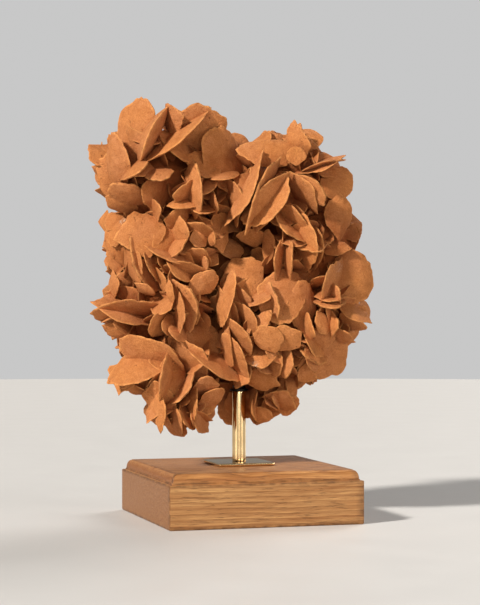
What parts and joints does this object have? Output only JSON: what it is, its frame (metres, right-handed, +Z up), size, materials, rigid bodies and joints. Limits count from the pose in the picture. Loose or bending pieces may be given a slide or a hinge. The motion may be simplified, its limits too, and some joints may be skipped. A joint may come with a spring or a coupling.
{
  "type": "gypsum sand rose on a display stand",
  "caption": "Natural desert rose of interlocking gypsum blades, held on a threaded rod over a brass tube, brass plate and moulded wooden plinth.",
  "frame": {"origin": "middle of the plinth's flat underside, on the rod's axis", "axes": "+Z up along the rod, +Y towards the back, -Y towards the show side, +X to the right seen from the show side; the plinth's sides are square to X and Y"},
  "size_m": [0.236, 0.17, 0.3625],
  "materials": {
    "gypsum": "sandy matt terracotta crystal faces",
    "wood": "satin varnished reddish brown hardwood",
    "brass": "polished",
    "steel": "blackened steel"
  },
  "bodies": {
    "root": {"sand_rose": "gypsum", "threaded_rod": "steel", "tube_washer": "steel", "tube_nut": "steel", "brass_tube": "brass", "brass_plate": "brass", "threaded_insert": "brass", "wooden_plinth": "wood"}
  },
  "joints": []
}
